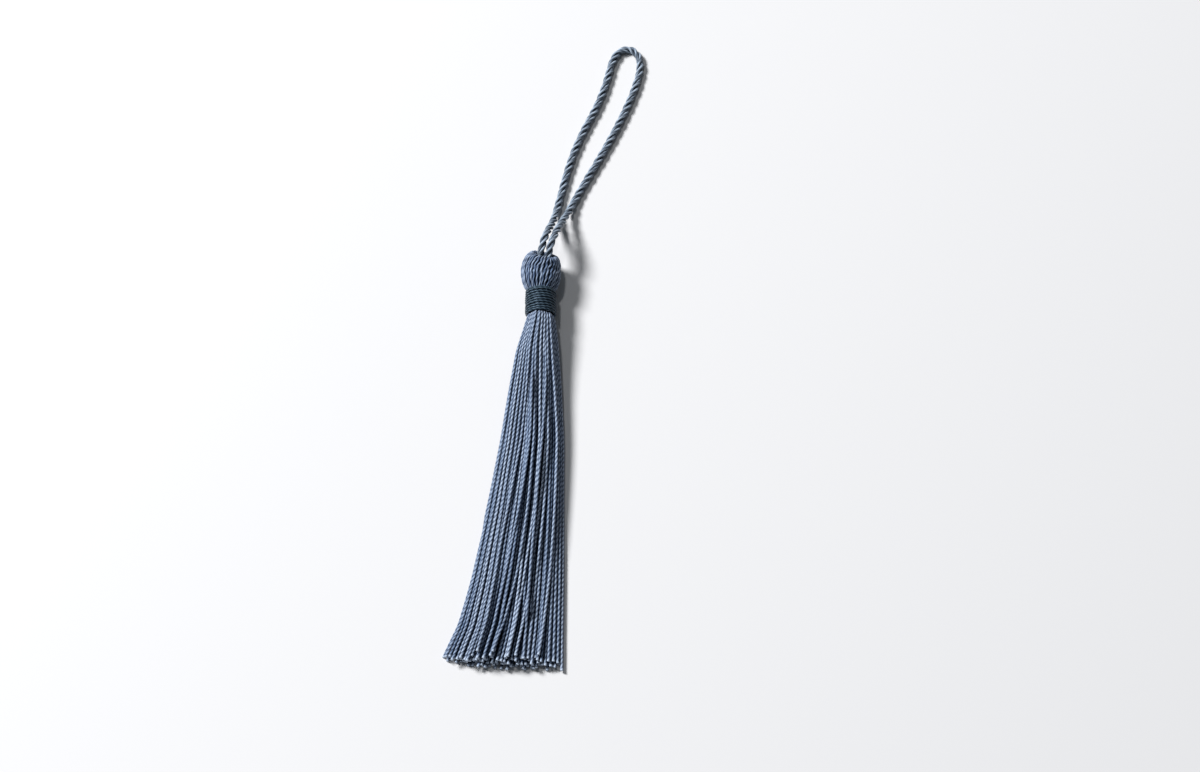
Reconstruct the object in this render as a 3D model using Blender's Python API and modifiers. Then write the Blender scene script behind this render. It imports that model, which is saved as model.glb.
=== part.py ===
"""A ball-head tassel on a twisted hanging loop, lying on its side on a flat surface.

Metres, +Z up. The origin is on the small flat on which the head rests. The cut skirt runs
along -Y and the hanging loop along +Y. Three pieces, as a maker has them: the bundle of yarn, turned
over into a head and cut into a skirt; the thread wound round its neck; and the twisted cord.
"""

import math
import random

import bmesh
import bpy
from mathutils import Matrix, Vector

MM = 0.001
OBJECT_NAME = "tassel"

# ---- Driving dimensions -------------------------------------------------------------------------

BODY_LENGTH = 80.0 * MM  # from the far side of the head to the cut ends of the skirt
CLEARANCE = 0.3 * MM  # between pieces that touch on the real tassel

AXIS_HEIGHT = 3.50 * MM  # of the head and neck over the surface; the head is a little fatter than this
HEAD_RIBS = 36  # threads that show round the head
RIB_DEPTH = 0.16 * MM
HEAD_LEAN = math.radians(20.0)  # how far a thread of the head turns about the axis, rim to neck
SLOT_RISE = math.radians(40.0)  # how far up the slot for the cord faces
SLOT_TURN = math.radians(16.0)  # how far it faces to the side

NECK_LENGTH = 4.9 * MM
ROOT_DEPTH = 0.6 * MM  # how far a thread is rooted in it
WAIST_RADIUS = 1.90 * MM  # the squeezed yarn under the binding
BINDING_RADIUS = 2.80 * MM  # over the crests of the wound thread
BINDING_TURNS = 10
BINDING_GROOVE = 0.13 * MM
BINDING_STEPS = 30

THREAD_COUNT = 92  # the lattice gives about this number
THREAD_SEED = 7
THREAD_GAP = 0.12 * MM  # least space between the sides of two threads
SPREAD_ROUNDS = 60
END_SCATTER = 0.7 * MM  # unevenness of the cut
END_SLANT = 0.5 * MM  # the threads underneath reach this much further than those on top

CORD_PLIES = 3
CORD_RADIUS = 0.68 * MM
CORD_WAIST = 0.40 * MM  # from the cord's middle to where two plies meet
CORD_LAY = 5.6 * MM  # length of one whole turn of the plies
CORD_STEPS_PER_TURN = 10

# ---- Profiles, in millimetres -------------------------------------------------------------------

# The yarn's outline from the floor of the dimple, over the head and down to the neck, before the
# dimple is swung up and to the side. Columns: place along the axis (+ towards the loop), radius, share of the rib
# depth, height over width. The dimple is an oval slot round the two legs of the cord.
HEAD_OUTLINE = (
    (1.95, 1.76, 0.0, 0.69),
    (2.55, 1.78, 0.4, 0.70),
    (2.90, 1.85, 0.8, 0.74),
    (3.08, 2.02, 1.0, 0.82),
    (3.02, 2.32, 1.0, 0.90),
    (2.68, 2.76, 1.0, 0.97),
    (2.05, 3.17, 1.0, 1.0),
    (1.15, 3.47, 1.0, 1.0),
    (0.10, 3.60, 1.0, 1.0),
    (-1.00, 3.60, 1.0, 1.0),
    (-2.05, 3.48, 1.0, 1.0),
    (-3.00, 3.22, 1.0, 1.0),
    (-3.75, 2.84, 1.0, 1.0),
    (-4.30, 2.40, 0.5, 1.0),
)
HEAD_RIM = 3.08 * MM  # the highest of those places
HEAD_REACH = 3.83 * MM  # of the ball towards the loop, once its dimple is swung up
NECK_START = -4.45 * MM

# The swing is full at the dimple's rim and fades out past the widest part of the ball. These are the
# angles there, from the dimple's middle, seen from the middle of the ball.
RIM_ANGLE = math.radians(40.0)
WAIST_ANGLE = math.radians(118.0)

# The top of the skirt, where the threads swell out of the neck before they part.
# Columns: distance below the neck, radius, share of the rib depth.
ROOT_OUTLINE = (
    (0.15, 2.40, 1.0),
    (0.50, 2.72, 1.0),
    (1.20, 2.95, 1.0),
)

# The skirt's cross-section. The threads leave a round root and settle into a low heap with a flat
# underside. Columns: share of the free length, half width, half height of the heap, dome (0 is an
# oval, 1 is flat underneath), gap to the surface, sideways lean, half a thread corner to corner.
SKIRT_SECTIONS = (
    (0.00, 2.78, 2.78, 0.00, 0.72, 0.0, 0.215),
    (0.08, 3.95, 2.60, 0.20, 0.40, -0.5, 0.220),
    (0.20, 4.90, 2.32, 0.55, 0.06, -0.8, 0.230),
    (0.36, 5.95, 2.06, 0.90, 0.00, -1.3, 0.245),
    (0.56, 7.15, 1.83, 1.00, 0.00, -2.4, 0.265),
    (0.78, 8.60, 1.65, 1.00, 0.00, -3.8, 0.275),
    (0.90, 9.60, 1.58, 1.00, 0.00, -4.8, 0.280),
    (1.00, 11.0, 1.53, 1.00, 0.00, -6.1, 0.290),
)

# The cord's route, by hand: up out of the dimple, over and down onto the surface, round the bight
# and back.
CORD_ROUTE = (
    (-0.16, 2.04, 5.11),
    (0.15, 3.13, 5.99),
    (0.50, 4.38, 6.44),
    (0.90, 5.78, 6.16),
    (1.38, 7.52, 5.03),
    (1.86, 9.45, 3.32),
    (2.32, 11.6, 1.80),
    (2.86, 14.2, 0.95),
    (3.62, 17.6, 0.72),
    (4.75, 22.3, 0.72),
    (6.15, 26.9, 0.72),
    (7.95, 31.3, 0.72),
    (9.80, 35.3, 0.72),
    (11.3, 39.3, 0.72),
    (12.2, 42.6, 0.72),
    (13.0, 45.6, 0.72),
    (14.3, 47.7, 0.72),
    (16.2, 48.2, 0.72),
    (17.7, 46.9, 0.72),
    (18.1, 44.4, 0.72),
    (17.4, 40.8, 0.72),
    (15.9, 36.4, 0.72),
    (13.6, 31.0, 0.72),
    (11.0, 25.6, 0.72),
    (8.50, 20.8, 0.72),
    (6.30, 16.4, 0.80),
    (4.90, 13.1, 1.42),
    (3.92, 10.4, 3.00),
    (3.14, 7.95, 4.80),
    (2.48, 5.72, 6.12),
    (1.92, 4.05, 6.44),
    (1.54, 2.73, 5.99),
    (1.22, 1.64, 5.11),
)

# ---- Derived ------------------------------------------------------------------------------------

GOLDEN = (1.0 + math.sqrt(5.0)) / 2.0
HEAD_STEPS = 2 * HEAD_RIBS  # one crest and one groove for each thread
NECK_END = NECK_START - NECK_LENGTH
ROOT_FACE = NECK_END - ROOT_OUTLINE[-1][0] * MM
FREE_LENGTH = BODY_LENGTH - (HEAD_REACH - ROOT_FACE) - 0.5 * (END_SCATTER + END_SLANT)
SQUARE_SIDE = math.cos(math.radians(45.0))  # from a thread's middle to its flat side, over its radius


# ---- Scene --------------------------------------------------------------------------------------


def clear_scene():
    for obj in list(bpy.data.objects):
        bpy.data.objects.remove(obj, do_unlink=True)


def new_collection(name):
    made = bpy.data.collections.new(name)
    bpy.context.scene.collection.children.link(made)
    return made


def principled(name, colour, roughness):
    made = bpy.data.materials.new(name)
    made.use_nodes = True
    shader = made.node_tree.nodes["Principled BSDF"]
    shader.inputs["Base Color"].default_value = (*colour, 1.0)
    shader.inputs["Roughness"].default_value = roughness
    shader.inputs["Metallic"].default_value = 0.0
    made.diffuse_color = (*colour, 1.0)
    return made


def add_object(name, data, collection, material=None):
    made = bpy.data.objects.new(name, data)
    collection.objects.link(made)
    if material:
        data.materials.clear()
        data.materials.append(material)
    return made


def hide_helper(obj):
    obj.hide_render = True
    obj.display_type = "WIRE"


def as_mesh(obj, name):
    """A new mesh of the object as it is evaluated, in world space. The object is removed."""
    bpy.context.view_layer.update()
    evaluated = obj.evaluated_get(bpy.context.evaluated_depsgraph_get())
    mesh = bpy.data.meshes.new_from_object(evaluated)
    mesh.name = name
    mesh.transform(obj.matrix_world)
    bpy.data.objects.remove(obj, do_unlink=True)
    return mesh


def weld(mesh, distance=1e-7, triangles=False):
    shape = bmesh.new()
    shape.from_mesh(mesh)
    bmesh.ops.remove_doubles(shape, verts=shape.verts, dist=distance)
    if triangles:
        bmesh.ops.triangulate(shape, faces=shape.faces, quad_method="SHORT_EDGE")
    bmesh.ops.recalc_face_normals(shape, faces=shape.faces)
    shape.to_mesh(mesh)
    shape.free()


def smooth(mesh, sharp_degrees):
    mesh.shade_smooth()
    mesh.set_sharp_from_angle(angle=math.radians(sharp_degrees))


def turned(name, outline, steps, closed, helpers):
    """A turned shape on the tassel's axis. The outline's points are (place along the axis, radius)."""
    mesh = bpy.data.meshes.new(name)
    points = [(radius, 0.0, along) for along, radius in outline]
    edges = [(i, i + 1) for i in range(len(points) - 1)]
    if closed:
        edges.append((len(points) - 1, 0))
    mesh.from_pydata(points, edges, [])
    made = add_object(name, mesh, helpers)
    screw = made.modifiers.new("turn", "SCREW")
    screw.axis = "Z"
    screw.steps = steps
    screw.render_steps = steps
    screw.use_merge_vertices = True
    screw.merge_threshold = 0.00001
    # The profile's own Z axis is laid along +Y, at the height of the tassel's axis.
    made.matrix_world = Matrix.Translation((0.0, 0.0, AXIS_HEIGHT)) @ Matrix.Rotation(-math.pi / 2, 4, "X")
    return made


# ---- Yarn: head, waist and skirt -----------------------------------------------------------------


def yarn_outline():
    """(along, radius) from the middle of the dimple's floor to the middle of the root disc's face."""
    first = HEAD_OUTLINE[0][0] * MM
    outline = [(first, 0.0)]
    outline += [(row[0] * MM, row[1] * MM) for row in HEAD_OUTLINE]
    outline += [(NECK_START, WAIST_RADIUS), (NECK_END, WAIST_RADIUS)]
    outline += [(NECK_END - row[0] * MM, row[1] * MM) for row in ROOT_OUTLINE]
    outline.append((ROOT_FACE, 0.0))
    return outline


def row_at(along, radius):
    """The share of the rib depth and the height over width in the row of points at this place."""
    near = 1e-6
    for place, size, ribs, oval in HEAD_OUTLINE:
        if abs(along - place * MM) < near and abs(radius - size * MM) < near:
            return ribs, oval
    for below, size, ribs in ROOT_OUTLINE:
        if abs(along - NECK_END + below * MM) < near and abs(radius - size * MM) < near:
            return ribs, 1.0
    return 0.0, 1.0


def raise_threads(mesh):
    """Every other line of points is lifted and the next one sunk, and the lines lean about the axis."""
    step = 2.0 * math.pi / HEAD_STEPS
    for vert in mesh.vertices:
        across, along, up = vert.co.x, vert.co.y, vert.co.z - AXIS_HEIGHT
        radius = math.hypot(across, up)
        ribs, oval = row_at(along, radius)
        share = swing_share(along, radius)
        rise = Matrix.Rotation(SLOT_RISE * share, 3, "X")
        turn = Matrix.Rotation(-SLOT_TURN * share, 3, "Z")
        angle = math.atan2(up, across)
        crest = 1.0 if round(angle / step) % 2 == 0 else -1.0
        radius += crest * 0.5 * RIB_DEPTH * ribs
        angle += HEAD_LEAN * min(1.0, (HEAD_RIM - along) / (HEAD_RIM - NECK_START))
        place = Vector((radius * math.cos(angle), along, radius * oval * math.sin(angle)))
        vert.co = turn @ rise @ place + Vector((0.0, 0.0, AXIS_HEIGHT))


def swing_share(along, radius):
    """How much of the dimple's swing the row of points at this place takes part in."""
    seen = math.atan2(radius, along)
    share = (WAIST_ANGLE - seen) / (WAIST_ANGLE - RIM_ANGLE)
    return min(1.0, max(0.0, share))


def flatten_underside(mesh):
    """The head's small flat spot, on the surface."""
    for vert in mesh.vertices:
        vert.co.z = max(vert.co.z, 0.0)


def golden_lattice(count):
    """About count points in the unit disc. Squeezed flat at the same area, they stay as evenly apart."""
    pitch = math.sqrt(math.pi / (math.sqrt(5.0) * count))
    reach = int(2.0 / pitch)
    found = []
    for a in range(-reach, reach + 1):
        for b in range(-reach, reach + 1):
            u = (a + b * GOLDEN) * pitch
            v = (a + b * (1.0 - GOLDEN)) * pitch
            if math.hypot(u, v) < 1.0:
                found.append((u, v))
    return found


def section_points(lattice, section):
    """Where the middle of each thread is in one cross-section of the skirt, as [x, z] pairs."""
    _, half_width, half_height, dome, gap, lean, thread = section
    rest = gap + thread * SQUARE_SIDE
    wide = half_width - thread
    tall = half_height - thread
    places = []
    for u, v in lattice:
        level = (1.0 - dome) + dome * math.sqrt(1.0 - u * u) + v
        places.append([lean + wide * u, rest + tall * level])
    if gap == 0.0:
        drop_lowest(places, rest, 2.0 * thread)
    spread_apart(places, rest, 2.0 * thread * SQUARE_SIDE + THREAD_GAP / MM)
    return places


def drop_lowest(places, rest, reach):
    """A thread with no other one beneath it lies on the surface."""
    before = [tuple(place) for place in places]
    for place, (x, z) in zip(places, before):
        beneath = any(abs(other_x - x) < reach and other_z < z for other_x, other_z in before)
        if not beneath:
            place[1] = rest


def spread_apart(places, rest, least):
    """Threads that are closer than least push each other aside, and none sinks below rest."""
    for _ in range(SPREAD_ROUNDS):
        settled = True
        for index, one in enumerate(places):
            for other in places[index + 1 :]:
                apart = [other[0] - one[0], other[1] - one[1]]
                axis = 0 if abs(apart[0]) >= abs(apart[1]) else 1
                short = least - abs(apart[axis])
                if short <= 1e-6:
                    continue
                push = math.copysign(0.5 * short, apart[axis])
                one[axis] = one[axis] - push
                other[axis] = other[axis] + push
                one[1] = max(one[1], rest)
                other[1] = max(other[1], rest)
                settled = False
        if settled:
            break


def thread_paths():
    """One list of (place, half thickness) for each thread, from inside the root disc to its cut end."""
    lattice = golden_lattice(THREAD_COUNT)
    layouts = [section_points(lattice, section) for section in SKIRT_SECTIONS]
    chance = random.Random(THREAD_SEED)
    paths = []
    for index, (_, v) in enumerate(lattice):
        root_x, root_z = layouts[0][index]
        root = Vector((root_x * MM, ROOT_FACE + ROOT_DEPTH, root_z * MM))
        path = [(root, SKIRT_SECTIONS[0][-1] * MM)]
        end = chance.uniform(-0.5, 0.5) * END_SCATTER - v * 0.5 * END_SLANT
        for section, layout in zip(SKIRT_SECTIONS, layouts):
            x, z = layout[index]
            along = ROOT_FACE - section[0] * FREE_LENGTH
            path.append((Vector((x * MM, along, z * MM)), section[-1] * MM))
        path[-1][0].y -= end
        paths.append(path)
    return paths


def skirt_threads(helpers):
    """All the skirt's threads as one mesh of separate square tubes, each with a flat side down."""
    curve = bpy.data.curves.new("skirt_threads", "CURVE")
    curve.dimensions = "3D"
    curve.twist_mode = "Z_UP"
    curve.bevel_depth = 1.0
    curve.bevel_resolution = 0
    curve.use_fill_caps = True
    for path in thread_paths():
        spline = curve.splines.new("POLY")
        spline.points.add(len(path) - 1)
        for point, (place, half) in zip(spline.points, path):
            point.co = (*place, 1.0)
            point.radius = half
            point.tilt = math.radians(45.0)
    mesh = as_mesh(add_object("skirt_threads", curve, helpers), "skirt_threads")
    weld(mesh)
    made = add_object("skirt_threads", mesh, helpers)
    hide_helper(made)
    return made


def make_yarn(parts, helpers, material):
    solid = turned("yarn_blank", yarn_outline(), HEAD_STEPS, False, helpers)
    mesh = as_mesh(solid, "yarn_tassel")
    weld(mesh)
    raise_threads(mesh)
    flatten_underside(mesh)
    smooth(mesh, 40.0)
    made = add_object("yarn_tassel", mesh, parts, material)
    join = made.modifiers.new("root the threads", "BOOLEAN")
    join.operation = "UNION"
    join.solver = "EXACT"
    join.object = skirt_threads(helpers)
    return made


# ---- Binding ------------------------------------------------------------------------------------


def make_binding(parts, helpers, material):
    """The wound thread as a ring with one crest for each turn."""
    inner = WAIST_RADIUS + CLEARANCE
    top = NECK_START - CLEARANCE
    pitch = (NECK_LENGTH - 2.0 * CLEARANCE) / BINDING_TURNS
    outline = [(top, inner)]
    for turn in range(BINDING_TURNS):
        start = top - turn * pitch
        outline.append((start, BINDING_RADIUS - BINDING_GROOVE))
        outline.append((start - 0.5 * pitch, BINDING_RADIUS))
    bottom = top - BINDING_TURNS * pitch
    outline += [(bottom, BINDING_RADIUS - BINDING_GROOVE), (bottom, inner)]
    ring = turned("binding_blank", outline, BINDING_STEPS, True, helpers)
    mesh = as_mesh(ring, "neck_binding")
    weld(mesh)
    smooth(mesh, 60.0)
    return add_object("neck_binding", mesh, parts, material)


# ---- Hanging loop -------------------------------------------------------------------------------


def smooth_route(points, steps=24):
    """A centripetal Catmull-Rom curve through the route's own points."""
    ends = [points[0] * 2.0 - points[1], *points, points[-1] * 2.0 - points[-2]]
    line = []
    for p0, p1, p2, p3 in zip(ends, ends[1:], ends[2:], ends[3:]):
        knots = [0.0]
        for a, b in ((p0, p1), (p1, p2), (p2, p3)):
            knots.append(knots[-1] + math.sqrt((b - a).length))
        t0, t1, t2, t3 = knots
        for step in range(steps):
            t = t1 + (t2 - t1) * step / steps
            a1 = p0.lerp(p1, (t - t0) / (t1 - t0))
            a2 = p1.lerp(p2, (t - t1) / (t2 - t1))
            a3 = p2.lerp(p3, (t - t2) / (t3 - t2))
            b1 = a1.lerp(a2, (t - t0) / (t2 - t0))
            b2 = a2.lerp(a3, (t - t1) / (t3 - t1))
            line.append(b1.lerp(b2, (t - t1) / (t2 - t1)))
    line.append(points[-1].copy())
    return line


def evenly(line, count):
    """count + 1 points at equal steps of length along the line, and the line's length."""
    lengths = [0.0]
    for a, b in zip(line, line[1:]):
        lengths.append(lengths[-1] + (b - a).length)
    total = lengths[-1]
    spaced = []
    at = 0
    for step in range(count + 1):
        wanted = total * step / count
        while at < len(line) - 2 and lengths[at + 1] < wanted:
            at += 1
        share = (wanted - lengths[at]) / (lengths[at + 1] - lengths[at])
        spaced.append(line[at].lerp(line[at + 1], share))
    return spaced, total


def cord_section(helpers):
    """The outline of the plies lying against each other."""
    curve = bpy.data.curves.new("cord_section", "CURVE")
    curve.dimensions = "2D"
    spline = curve.splines.new("POLY")
    shape = []
    step = math.pi / CORD_PLIES
    for ply in range(CORD_PLIES):
        crest = 2.0 * ply * step
        for angle, radius in (
            (crest - 0.45 * step, 0.94 * CORD_RADIUS),
            (crest, CORD_RADIUS),
            (crest + 0.45 * step, 0.94 * CORD_RADIUS),
            (crest + step, CORD_WAIST),
        ):
            shape.append((radius * math.cos(angle), radius * math.sin(angle)))
    spline.points.add(len(shape) - 1)
    for point, (x, y) in zip(spline.points, shape):
        point.co = (x, y, 0.0, 1.0)
    spline.use_cyclic_u = True
    made = add_object("cord_section", curve, helpers)
    hide_helper(made)
    return made


def make_loop(parts, helpers, material):
    route = [Vector(point) * MM for point in CORD_ROUTE]
    line = smooth_route(route)
    turns = round(evenly(line, 1)[1] / CORD_LAY)
    points, _ = evenly(line, turns * CORD_STEPS_PER_TURN)
    curve = bpy.data.curves.new("hanging_loop", "CURVE")
    curve.dimensions = "3D"
    curve.twist_mode = "MINIMUM"
    curve.bevel_mode = "OBJECT"
    curve.bevel_object = cord_section(helpers)
    curve.use_fill_caps = True
    spline = curve.splines.new("POLY")
    spline.points.add(len(points) - 1)
    spline.use_smooth = True
    for index, (point, place) in enumerate(zip(spline.points, points)):
        point.co = (*place, 1.0)
        point.tilt = 2.0 * math.pi * index / CORD_STEPS_PER_TURN
    mesh = as_mesh(add_object("hanging_loop_blank", curve, helpers), "hanging_loop")
    weld(mesh, triangles=True)
    smooth(mesh, 60.0)
    return add_object("hanging_loop", mesh, parts, material)


# ---- The tassel ---------------------------------------------------------------------------------


def main():
    clear_scene()
    parts = new_collection(OBJECT_NAME)
    helpers = new_collection("helpers")
    floss = principled("floss", (0.095, 0.150, 0.235), 0.42)
    winding = principled("winding_thread", (0.050, 0.085, 0.130), 0.45)
    cord = principled("twisted_cord", (0.080, 0.130, 0.200), 0.40)
    make_yarn(parts, helpers, floss)
    make_binding(parts, helpers, winding)
    make_loop(parts, helpers, cord)


main()
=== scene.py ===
# %% [markdown]
# # A silky ball-head tassel
#
# A maker winds a bundle of two-ply floss, lays a twisted cord across its middle and folds the bundle
# over it. The fold becomes a ball, a thread wound round the neck holds it, and the loose ends are cut
# level. This lesson spins each of those yarns as real twisted geometry, because the glitter of a silky
# tassel comes from light catching one ply after another.
#
# The part's own frame comes first. It says where each piece lies, and nothing below moves it.

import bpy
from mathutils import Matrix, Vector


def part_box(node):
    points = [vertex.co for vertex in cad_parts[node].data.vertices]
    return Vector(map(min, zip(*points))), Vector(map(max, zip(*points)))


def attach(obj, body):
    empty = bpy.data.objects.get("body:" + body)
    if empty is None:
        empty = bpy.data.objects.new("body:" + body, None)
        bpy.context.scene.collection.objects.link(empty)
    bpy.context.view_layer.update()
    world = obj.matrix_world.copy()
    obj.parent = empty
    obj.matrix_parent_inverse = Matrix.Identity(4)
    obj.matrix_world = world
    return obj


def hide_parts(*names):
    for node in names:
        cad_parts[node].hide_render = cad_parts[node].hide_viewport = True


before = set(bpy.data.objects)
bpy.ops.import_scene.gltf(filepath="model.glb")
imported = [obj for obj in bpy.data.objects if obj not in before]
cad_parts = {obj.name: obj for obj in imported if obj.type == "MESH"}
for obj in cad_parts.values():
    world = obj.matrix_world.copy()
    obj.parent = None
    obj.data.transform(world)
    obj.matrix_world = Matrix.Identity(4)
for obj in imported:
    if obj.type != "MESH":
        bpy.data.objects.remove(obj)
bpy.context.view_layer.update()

# %% [markdown]
# ## Units and the sizes that come from the frame
#
# Lengths below are in millimetres, which suit a thing as small as this, and `MM` turns them into
# Blender's metres when a mesh is made. The binding's box gives the tassel's axis and the two ends of
# the neck. The yarn's box gives the cut ends.

# %% Read the sizes
import math

import bpy
import numpy as np

MM = 0.001
CLEARANCE = 0.3  # between the binding and what it is wound on, in the frame

binding_low, binding_high = (np.array(corner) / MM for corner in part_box("neck_binding"))
yarn_low = np.array(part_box("yarn_tassel")[0]) / MM
AXIS_HEIGHT = 0.5 * (binding_low[2] + binding_high[2])
NECK_START = binding_high[1] + CLEARANCE
NECK_END = binding_low[1] - CLEARANCE
BINDING_RADIUS = 0.5 * (binding_high[0] - binding_low[0])
CUT_END = yarn_low[1]
UP = np.array([0.0, 0.0, 1.0])
print(f"axis {AXIS_HEIGHT:.2f} mm up, neck {NECK_START:.1f} to {NECK_END:.1f}, cut at {CUT_END:.1f}")

# %% [markdown]
# ## The camera
#
# The photograph looks down at the tassel from a little towards its cut ends, through a long lens. The
# angle is set from how round the head and how long the skirt look there. Placing the camera by the
# pixel where the head should show keeps the framing easy to change.

# %% Place the camera
PHOTO_WIDTH, PHOTO_HEIGHT = 1200, 772  # pixels
VIEW_WIDTH = 213.0  # how much of the surface the picture spans
HEAD_PIXEL = (540, 268)
ELEVATION = math.radians(63.5)
LENS, SENSOR = 110.0, 36.0

pixels_per_mm = PHOTO_WIDTH / VIEW_WIDTH
right = (0.5 * PHOTO_WIDTH - HEAD_PIXEL[0]) / pixels_per_mm
back = (0.5 * PHOTO_HEIGHT - HEAD_PIXEL[1]) / pixels_per_mm / math.sin(ELEVATION)
aim = np.array([right, -back, AXIS_HEIGHT])
distance = VIEW_WIDTH * LENS / SENSOR
stand_off = np.array([0.0, -math.cos(ELEVATION), math.sin(ELEVATION)])

camera_data = bpy.data.cameras.new("camera")
camera_data.lens = LENS
camera_data.sensor_width = SENSOR
camera_data.clip_start = 0.01
camera = bpy.data.objects.new("camera", camera_data)
bpy.context.scene.collection.objects.link(camera)
camera.location = (aim + distance * stand_off) * MM
camera.rotation_euler = (0.5 * math.pi - ELEVATION, 0.0, 0.0)
bpy.context.scene.camera = camera
print(f"camera {distance:.0f} mm away, {pixels_per_mm:.2f} pixels a millimetre")

# %% [markdown]
# ## Lines in space
#
# Every yarn follows a line. Each line is drawn as a smooth curve through a few points, then walked at
# even steps, so that the twist put on it later is even too.

# %% Curves and even steps


def unit(vectors):
    return vectors / np.linalg.norm(vectors, axis=-1, keepdims=True)


def smooth_line(points, steps=24):
    """A centripetal Catmull-Rom curve through the points, with steps pieces between each two."""
    points = np.asarray(points, float)
    ends = np.vstack([2 * points[0] - points[1], points, 2 * points[-1] - points[-2]])
    share = np.arange(steps)[:, None] / steps
    line = []
    for p0, p1, p2, p3 in zip(ends, ends[1:], ends[2:], ends[3:]):
        t1 = math.sqrt(np.linalg.norm(p1 - p0))
        t2 = t1 + math.sqrt(np.linalg.norm(p2 - p1))
        t3 = t2 + math.sqrt(np.linalg.norm(p3 - p2))
        t = t1 + (t2 - t1) * share
        a1 = p0 + (p1 - p0) * t / t1
        a2 = p1 + (p2 - p1) * (t - t1) / (t2 - t1)
        a3 = p2 + (p3 - p2) * (t - t2) / (t3 - t2)
        b1 = a1 + (a2 - a1) * t / t2
        b2 = a2 + (a3 - a2) * (t - t1) / (t3 - t1)
        line.append(b1 + (b2 - b1) * (t - t1) / (t2 - t1))
    return np.vstack([*line, points[-1:]])


def length_along(line):
    steps = np.linalg.norm(np.diff(line, axis=0), axis=1)
    return np.concatenate([[0.0], np.cumsum(steps)])


def evenly(line, count):
    """count + 1 points at equal steps of length along the line."""
    place = length_along(line)
    wanted = np.linspace(0.0, place[-1], count + 1)
    return np.column_stack([np.interp(wanted, place, axis) for axis in line.T])


def drift(chance, place, waves):
    """A slow random wander with a size near 1, as a sum of sines of these wavelengths."""
    total = np.zeros_like(place)
    for wave in waves:
        total = total + np.sin(2 * math.pi * (place / wave + chance.random()))
    return total / len(waves)


corner = smooth_line([(1.0, 0.0), (math.sqrt(0.5), math.sqrt(0.5)), (0.0, 1.0)])
print(f"a quarter circle through three points is {length_along(corner)[-1] / (0.5 * math.pi):.1%} true")

# %% [markdown]
# ## How a twisted yarn is spun
#
# A plied yarn seen end on is a few round strands leaning on each other. Turn that outline steadily as
# it moves along a line and the plies appear. One closed skin does for all of a yarn's plies, which is
# light on faces and has nothing hidden inside. `outline` makes the end view, `strand` says how it
# travels, and `ring_points` sets it out at every step of the way.

# %% End views and strands
PLY_BREADTH = 0.8  # below 1 the plies are broad and the grooves between them narrow
FAR = 99.0  # stands for the distance to a cut end where there is none


def outline(plies, waist, corners):
    """The end view of a plied yarn of radius 1. waist is its radius in the grooves."""
    angle = 2 * math.pi * np.arange(corners) / corners
    swell = np.abs(np.cos(0.5 * plies * angle)) ** PLY_BREADTH if plies else np.ones(corners)
    radius = waist + (1.0 - waist) * swell
    return np.column_stack([radius * np.cos(angle), radius * np.sin(angle)]), 1.0 - swell


def strand(line, radius, up, lay, tone, turn=0.0, to_end=None):
    """A yarn along a line. lay is the length of one whole turn, and up is any direction across it."""
    place = length_along(line)
    forward = unit(np.gradient(line, axis=0))
    side = unit(np.cross(forward, up))
    return {
        "line": line,
        "radius": radius * np.ones(len(line)),
        "side": side,
        "over": np.cross(side, forward),
        "angle": turn - 2 * math.pi * place / lay,
        "place": place,
        "tone": tone,
        "to_end": np.full(len(line), FAR) if to_end is None else to_end,
    }


def ring_points(one, shape):
    cos, sin = np.cos(one["angle"])[:, None], np.sin(one["angle"])[:, None]
    x = cos * shape[:, 0] - sin * shape[:, 1]
    y = sin * shape[:, 0] + cos * shape[:, 1]
    offset = x[..., None] * one["side"][:, None] + y[..., None] * one["over"][:, None]
    return one["line"][:, None] + one["radius"][:, None, None] * offset


two_plies, _ = outline(2, 0.84, 8)
print("radii round an end view of two plies:", np.hypot(*two_plies.T).round(2))

# %% [markdown]
# ## Crevices and their painted shade
#
# Little light gets in where threads lie close, and fibre after fibre soaks up what does. Smooth skins
# bounce it about instead, which would leave the gaps too bright. So that shade is painted on: each
# point of a thread looks straight out into a grid that knows how much yarn is where. The more yarn it
# finds close in front of it, the deeper is its crevice, and the darker the painted shade it gets later.

# %% Find the crevices
CELL = 0.13  # of the grid
GRID_MARGIN = 1.2  # round the yarn, so that no point looks out of the grid
BULK_AT = (0.45, 0.9)  # where a thread's bulk is put down, as shares of its radius
LOOK_OUT = (0.20, 0.40, 0.65, 0.95)  # how far in front of a point the grid is read


def crowding(strands, skins, low, high):
    """A grid that holds how much of each cell is yarn."""
    grid = np.zeros(np.ceil((high - low) / CELL).astype(int) + 1)
    for one, skin in zip(strands, skins):
        middle = one["line"][:, None]
        spacing = one["place"][-1] / (len(one["line"]) - 1)
        parts = len(BULK_AT) * skin.shape[1]
        weight = spacing * math.pi * one["radius"] ** 2 / CELL**3 / parts
        for share in BULK_AT:
            cell = np.rint((middle + share * (skin - middle) - low) / CELL).astype(int)
            amount = np.broadcast_to(weight[:, None], cell.shape[:2])
            np.add.at(grid, tuple(cell.reshape(-1, 3).T), amount.ravel())
    return grid


def blurred(grid, rounds):
    """Each round gives every cell half of its own and half of its two neighbours', along each axis."""
    for _ in range(rounds):
        for axis in range(3):
            grid = 0.5 * grid + 0.25 * (np.roll(grid, 1, axis) + np.roll(grid, -1, axis))
    return grid


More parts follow.
